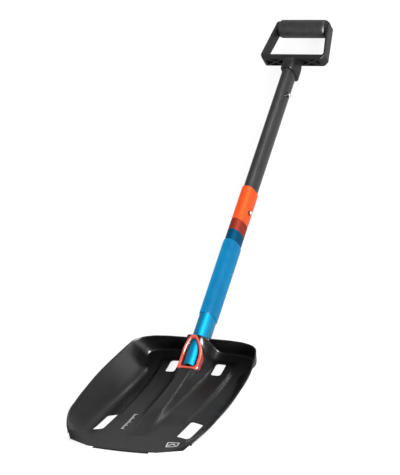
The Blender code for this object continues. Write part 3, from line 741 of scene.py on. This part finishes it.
def make_prints(ink, blade):
    """Plain depth scale on the left panel and a plain framed peak near the right front corner."""
    scale = []
    across, first = SCALE_START
    for number in range(SCALE_MARKS):
        along = first + number * SCALE_STEP
        length = 6.0 if number % 5 == 0 else 3.2
        scale.append(printed_stroke(blade, (across, along), (across + length, along), 0.8))
    left = make_object("depth_scale_print", *join_parts(scale), (ink,))
    place(left, "blade")
    badge = []
    for start, end in zip(BADGE_FRAME, BADGE_FRAME[1:] + BADGE_FRAME[:1]):
        badge.append(printed_stroke(blade, start, end, 1.5))
    for start, end in zip(BADGE_PEAK, BADGE_PEAK[1:]):
        badge.append(printed_stroke(blade, start, end, 1.7))
    right = make_object("badge_print", *join_parts(badge), (ink,))
    place(right, "blade")


# ---------------------------------------------------------------- shaft


def tube_rings(outer, wall, ends, places):
    """Rings of an open tube with eased rims, along the outside, round the end and back inside."""
    low, high = ends
    stations = [(low, -RIM_EASE), (low + RIM_EASE, 0.0), *[(y, 0.0) for y in places],
                (high - RIM_EASE, 0.0), (high, -RIM_EASE), (high, -wall), (low, -wall)]
    rings = []
    for y, grow in stations:
        section = superellipse(outer[0] + grow, outer[1] + grow, TUBE_SIDES, TUBE_POWER)
        rings.append(np.stack([section[:, 0], np.full(TUBE_SIDES, y), section[:, 1]], axis=1))
    return rings


def half_section(node):
    """Half width and half depth of a CAD node."""
    low, high = node_box(node)
    return (high.x - low.x) / 2, (high.z - low.z) / 2


def hole_tool(y, side):
    """Cutter for a button hole through one side of a tube."""
    return turned("hole_tool", [(side * 3, HOLE_RADIUS), (side * 25, HOLE_RADIUS)], (0, y, 0))


def make_lower_shaft(bands):
    """Lower tube in blue, dark blue, dark red and orange, with two button holes."""
    low, high = node_box("lower_shaft")
    outer = half_section("lower_shaft")
    rings = tube_rings(outer, LOWER_WALL, (low.y, high.y), [20.0, *COLOUR_BANDS])
    shaft = make_object("lower_tube", *skin(rings, "joined"), bands)
    holes = [hole_tool(BUTTON_Y["extended_lock"], 1), hole_tool(BUTTON_Y["blade_lock"], -1)]
    boolean(shaft, holes, "DIFFERENCE")

    def band(middle, normal):
        """Slot of a face: 0 inside the tube, then one for each band."""
        outward = middle.x * normal.x + middle.z * normal.z > 0
        radius = (abs(middle.x) / outer[0]) ** TUBE_POWER + (abs(middle.z) / outer[1]) ** TUBE_POWER
        if not outward or radius < 0.94:
            return 0
        return 1 + sum(middle.y > start for start in COLOUR_BANDS)

    paint(shaft, band)
    place(shaft, "lower_shaft", "lower_shaft")


def make_upper_shaft(finish):
    """Upper tube with the holes of its two buttons."""
    low, high = node_box("upper_shaft")
    rings = tube_rings(half_section("upper_shaft"), UPPER_WALL, (low.y, high.y), [300.0, 400.0])
    shaft = make_object("upper_tube", *skin(rings, "joined"), (finish,))
    holes = [hole_tool(BUTTON_Y[name], 1) for name in ("extended_lock", "stowed_lock")]
    boolean(shaft, holes, "DIFFERENCE")
    place(shaft, "upper_shaft", "upper_shaft")


def make_grip_sleeve(rubber):
    """Soft sleeve with rounded ends and staggered rows of small raised dots."""
    low, high = node_box("grip_sleeve")
    outer = half_section("grip_sleeve")
    base = (outer[0] - DOT_HEIGHT, outer[1] - DOT_HEIGHT)
    inner = (outer[0] - GRIP_THICK, outer[1] - GRIP_THICK)
    around = TUBE_SIDES * 3 // 2
    section = superellipse(1, 1, around, TUBE_POWER)
    girth = np.linalg.norm(np.roll(section * base, -1, axis=0) - section * base, axis=1)
    place_round = np.concatenate([[0], np.cumsum(girth)[:-1]])
    dots_round = round(girth.sum() / DOT_PITCH)
    phase = place_round / girth.sum() * dots_round * 2 * math.pi
    rings = []
    middle = np.arange(low.y + 2, high.y - 2, SLEEVE_STEP)
    stations = np.concatenate([[low.y + RIM_EASE, low.y + SLEEVE_STEP], middle,
                               [high.y - SLEEVE_STEP, high.y - RIM_EASE]])
    for y in stations:
        fade = ease((y - low.y) / SLEEVE_BORDER - 1) * ease((high.y - y) / SLEEVE_BORDER - 1)
        row = math.pi * (y - low.y) / DOT_ROWS
        wave = np.cos(phase / 2) * math.cos(row)
        dots = DOT_HEIGHT * ease((np.abs(wave) - 0.35) / 0.5) * fade
        rounding = RIM_EASE * (1 - ease(min(y - low.y, high.y - y) / 1.2))
        size = np.stack([base[0] + dots - rounding, base[1] + dots - rounding], axis=1)
        ring = section * size
        rings.append(np.stack([ring[:, 0], np.full(around, y), ring[:, 1]], axis=1))
    for y in (high.y, low.y):
        ring = section * inner
        rings.append(np.stack([ring[:, 0], np.full(around, y), ring[:, 1]], axis=1))
    sleeve = make_object("grip_sleeve_dotted", *skin(rings, "joined"), (rubber,))
    place(sleeve, "lower_shaft", "grip_sleeve")


def make_buttons(metal):
    """Three turned buttons with domed ends."""
    for name, y in BUTTON_Y.items():
        low, high = node_box(f"{name}_button")
        side = -1 if name == "blade_lock" else 1
        base, tip = (low.x, high.x) if side > 0 else (-high.x, -low.x)
        dome = tip - BUTTON_DOME
        profile = [(base, 0.9), (base + 0.3, 1.0), (dome, 1.0)]
        for angle in np.radians(np.linspace(0, 85, 9)):
            profile.append((dome + BUTTON_DOME * math.sin(angle), 0.1 + 0.9 * math.cos(angle)))
        points = [(side * x, BUTTON_RADIUS * share) for x, share in profile]
        button = turned(f"{name}_pin", points, (0, y, 0), 40)
        button.data.materials.append(metal)
        place(button, name, f"{name}_button")
        if name == "extended_lock":
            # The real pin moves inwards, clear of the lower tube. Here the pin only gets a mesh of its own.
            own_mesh(button)


def make_springs(metal):
    """Leaf springs in their CAD shape, each with a mesh of its own. They are not bent the way real leaves
    bend.
    """
    for name, travel in BUTTON_TRAVEL.items():
        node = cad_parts[f"{name}_spring"]
        leaf = bpy.data.objects.new(f"{name}_leaf", node.data.copy())
        leaf.matrix_world = node.matrix_world.copy()
        bpy.context.collection.objects.link(leaf)
        leaf.data.materials.clear()
        leaf.data.materials.append(metal)
        place(leaf, "lower_shaft" if name == "blade_lock" else "upper_shaft", f"{name}_spring")
        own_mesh(leaf)


# ---------------------------------------------------------------- handle


def rounded(corners):
    """Closed outline with an arc at each (x, y, radius) corner."""
    outline = []
    for i, (x, y, radius) in enumerate(corners):
        corner = Vector((x, y))
        if radius == 0.0:
            outline.append(corner)
            continue
        before = (Vector(corners[i - 1][:2]) - corner).normalized()
        after = (Vector(corners[(i + 1) % len(corners)][:2]) - corner).normalized()
        half_angle = before.angle(after) / 2
        middle = corner + (before + after).normalized() * radius / math.sin(half_angle)
        start = corner + before * radius / math.tan(half_angle) - middle
        end = corner + after * radius / math.tan(half_angle) - middle
        for k in range(ARC_STEPS + 1):
            outline.append(middle + start.lerp(end, k / ARC_STEPS).normalized() * radius)
    return outline


def inset(outline, distance):
    """The outline moved inwards, with its points given anticlockwise."""
    moved = []
    for i, point in enumerate(outline):
        before = (point - outline[i - 1]).normalized()
        after = (outline[(i + 1) % len(outline)] - point).normalized()
        inward = (Vector((-before.y, before.x)) + Vector((-after.y, after.x))).normalized()
        moved.append(point + inward * distance / inward.dot(Vector((-after.y, after.x))))
    return moved


def frame_plate():
    """Rings of the flat U with rounded edges."""
    left = [(-x, y, radius) for x, y, radius in reversed(FRAME_CORNERS)]
    outline = rounded(FRAME_CORNERS + left)
    edge = []
    for turn in np.radians([0, 25, 50, 75, 90]):
        drop = FRAME_EDGE * (1 - math.cos(turn))
        edge.append((FRAME_EDGE * (1 - math.sin(turn)), FRAME_HALF_DEPTH - drop))
    rings = []
    for distance, z in [(distance, -z) for distance, z in edge] + edge[::-1]:
        rings.append([(x, y, z) for x, y in inset(outline, distance)])
    return rings


def oval_stack(name, stations, power=TUBE_POWER, middle_z=0.0):
    """Closed solid along Y through oval sections given as (y, half_x, half_z)."""
    rings = []
    for y, half_x, half_z in stations:
        section = superellipse(half_x, half_z, HANDLE_SIDES, power)
        columns = (section[:, 0], np.full(HANDLE_SIDES, y), middle_z + section[:, 1])
        rings.append(np.stack(columns, axis=1))
    return make_object(name, *skin(rings))


def handle_neck():
    """Boxy sleeve round the upper tube that narrows into the base bar."""
    low, high = NECK_ENDS
    length, drop = NECK_TAPER
    bottom = ORIGIN.z / MM
    deep = (NECK_TOP + bottom) / 2
    stations = [(low, NECK_HALF - 0.7, deep - 0.7), (low + 0.25, NECK_HALF - 0.25, deep - 0.25),
                (low + 0.8, NECK_HALF, deep), (high - length, NECK_HALF, deep)]
    for share in np.linspace(0.1, 1, 10):
        widened = NECK_HALF + ease(share * 1.3)
        stations.append((high - length + length * share, widened, deep - drop * share ** 1.6))
    return oval_stack("neck_tool", stations, NECK_POWER, NECK_TOP - deep)


def lattice_cells():
    """Triangles between the crossed ribs under the base bar, in X and Z, both sides of the neck."""
    near, far, half_z = LATTICE
    rib = LATTICE_RIB
    middle = (near + far) / 2
    cells = []
    for side in (-1, 1):
        cells.append([(side * near, half_z - rib), (side * (middle - rib), 0), (side * near, rib - half_z)])
        cells.append([(side * far, half_z - rib), (side * (middle + rib), 0), (side * far, rib - half_z)])
        for up in (-1, 1):
            cells.append([(side * (near + 2 * rib), up * half_z), (side * (far - 2 * rib), up * half_z),
                          (side * middle, up * rib)])
    return cells


def make_handle_frame(nylon):
    """D frame: flat U, round core across its top, boxy neck with the tube's bore, and ribbed pockets."""
    handle = make_object("handle_d_frame", *skin(frame_plate()), (nylon,))
    half, radius = TOP_CORE_HALF, TOP_CORE_RADIUS
    end = [(half - TOP_CORE_EASE * (1 - math.cos(turn)), radius - TOP_CORE_EASE * (1 - math.sin(turn)))
           for turn in np.radians([0, 30, 60, 90])]
    profile = [(-x, r) for x, r in end] + end[::-1]
    core = turned("core_tool", profile, (0, TOP_BAR_Y, 0), HANDLE_SIDES)
    boolean(handle, [core, handle_neck()], "UNION")
    tube = half_section("upper_shaft")
    bore = (tube[0] + GAP, tube[1] + GAP)
    bottom = node_box("upper_shaft")[1].y + GAP
    tools = [oval_stack("bore_tool", [(NECK_ENDS[0] - 5, *bore), (bottom, *bore)])]
    for outline in lattice_cells():
        rings = [[(x, y, z) for x, z in outline] for y in (LATTICE_FLOOR_Y - 12, LATTICE_FLOOR_Y)]
        tools.append(make_object("lattice_tool", *skin(rings)))
    boolean(handle, tools, "DIFFERENCE")
    place(handle, "upper_shaft", "handle_frame")


def make_grip_cover(rubber):
    """Thick tube with rounded shoulders on the D's top bar."""
    high = node_box("grip_cover")[1]
    half, outer, inner = high.x, high.z, TOP_CORE_RADIUS + GAP
    length, drop = GRIP_SHOULDER
    right = [(half, inner)]
    for turn in np.linspace(0, math.pi / 2, 12):
        right.append((half - length * (1 - math.cos(turn)), outer - drop * (1 - math.sin(turn))))
    turns = np.linspace(0, 2 * math.pi, HANDLE_SIDES, endpoint=False)
    rings = []
    for x, radius in right + [(-x, radius) for x, radius in reversed(right)]:
        columns = (np.full(HANDLE_SIDES, x), TOP_BAR_Y + radius * np.cos(turns), radius * np.sin(turns))
        rings.append(np.stack(columns, axis=1))
    cover = make_object("grip_cover_rubber", *skin(rings, "joined"), (rubber,))
    place(cover, "upper_shaft", "grip_cover")


# ---------------------------------------------------------------- studio


def aim(back, roll):
    """Rotation of a camera or light whose back points along a direction."""
    back = Vector(back).normalized()
    side = Vector((-back.y, back.x, 0)).normalized()
    up = back.cross(side)
    right = side * math.cos(roll) + up * math.sin(roll)
    over = back.cross(right)
    return Matrix((right, over, back)).transposed().to_4x4()


def direction(azimuth, elevation):
    """Unit vector towards a place in the sky, with azimuth 0 in front of the blade, in degrees."""
    azimuth, elevation = math.radians(azimuth), math.radians(elevation)
    return Vector((math.sin(azimuth) * math.cos(elevation), -math.cos(azimuth) * math.cos(elevation),
                   math.sin(elevation)))


def make_camera():
    camera = bpy.data.objects.new("camera", bpy.data.cameras.new("camera"))
    bpy.context.collection.objects.link(camera)
    camera.data.lens = CAMERA_LENS
    back = direction(CAMERA_AZIMUTH, CAMERA_ELEVATION)
    stand = Vector(LOOKS_AT) * MM + ORIGIN + back * CAMERA_DISTANCE
    camera.matrix_world = Matrix.Translation(stand) @ aim(back, math.radians(CAMERA_ROLL))
    bpy.context.scene.camera = camera


def area_light(name, azimuth, elevation, size, power):
    """A softbox that only gives highlights. The even light comes from the world."""
    data = bpy.data.lights.new(name, "AREA")
    data.shape = "RECTANGLE"
    data.size, data.size_y = size
    data.energy = power
    light = bpy.data.objects.new(name, data)
    bpy.context.collection.objects.link(light)
    back = direction(azimuth, elevation)
    light.matrix_world = Matrix.Translation(back * LIGHT_DISTANCE) @ aim(back, 0.0)
    light.visible_diffuse = False
    light.data.cycles.max_bounces = 0


def make_floor():
    """Pale floor that mostly glows by itself, so that the shadows on it stay faint."""
    corners = [(x * FLOOR_REACH, y * FLOOR_REACH, 0) for x, y in ((-1, -1), (1, -1), (1, 1), (-1, 1))]
    floor_mesh = bpy.data.meshes.new("floor")
    floor_mesh.from_pydata(corners, [], [(0, 1, 2, 3)])
    pale = Shader("pale_floor", 0.9, Emission_Color=(1, 1, 1, 1), Emission_Strength=0.84)
    pale.colour(pale.ramp(pale.noise(3.0), 0.3, 0.7, [(0.15, 0.15, 0.15), (0.17, 0.17, 0.17)]))
    floor_mesh.materials.append(pale.material)
    floor = bpy.data.objects.new("floor", floor_mesh)
    bpy.context.collection.objects.link(floor)


def make_light():
    """Even white light all round, and the softboxes."""
    world = bpy.data.worlds.new("studio")
    world.use_nodes = True
    world.node_tree.nodes["Background"].inputs["Color"].default_value = (1, 1, 1, 1)
    world.node_tree.nodes["Background"].inputs["Strength"].default_value = 1.0
    bpy.context.scene.world = world
    bpy.context.scene.view_settings.view_transform = "Standard"
    for softbox in SOFTBOXES:
        area_light(*softbox)


# ---------------------------------------------------------------- everything


def dress_cradle(black):
    """The cradle keeps its CAD shape and gets the blade's finish."""
    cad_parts["shaft_cradle"].data.materials.clear()
    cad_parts["shaft_cradle"].data.materials.append(black)


def main():
    make_camera()
    make_floor()
    make_light()
    black = blade_finish()
    blade = make_blade(black, ground_edge())
    make_collar(moulded("orange_red_moulding", (0.93, 0.085, 0.032), (0.97, 0.1, 0.04), 0.42))
    make_prints(print_ink(), blade)
    bare = anodised("tube_inside", (0.05, 0.05, 0.055), (0.08, 0.08, 0.085), 0.5)
    bands = (bare,
             anodised("blue_anodised", (0.0, 0.108, 0.208), (0.001, 0.125, 0.238), 0.42, 0.93),
             anodised("dark_blue_band", (0.0, 0.046, 0.105), (0.001, 0.056, 0.125), 0.45, 0.3,
                      Specular_IOR_Level=0.02),
             anodised("dark_red_band", (0.2, 0.024, 0.014), (0.25, 0.033, 0.019), 0.45, 0.3,
                      Specular_IOR_Level=0.02),
             anodised("orange_anodised", (0.76, 0.08, 0.013), (0.85, 0.1, 0.02), 0.42, 0.25,
                      Specular_IOR_Level=0.05))
    make_lower_shaft(bands)
    make_upper_shaft(anodised("grey_anodised", (0.025, 0.025, 0.026), (0.032, 0.032, 0.033), 0.4))
    make_grip_sleeve(moulded("blue_grip_rubber", (0.0, 0.22, 0.495), (0.0, 0.265, 0.555), 0.34, 1500.0,
                             Specular_IOR_Level=0.06))
    make_buttons(steel("bright_steel", 0.2))
    make_handle_frame(moulded("black_nylon", (0.006, 0.006, 0.0063), (0.009, 0.009, 0.0094), 0.42,
                              Specular_IOR_Level=0.16))
    make_grip_cover(moulded("black_grip_rubber", (0.012, 0.012, 0.0125), (0.017, 0.017, 0.0175), 0.5,
                            Specular_IOR_Level=0.22))
    make_springs(steel("spring_steel", 0.35))
    dress_cradle(black)


main()
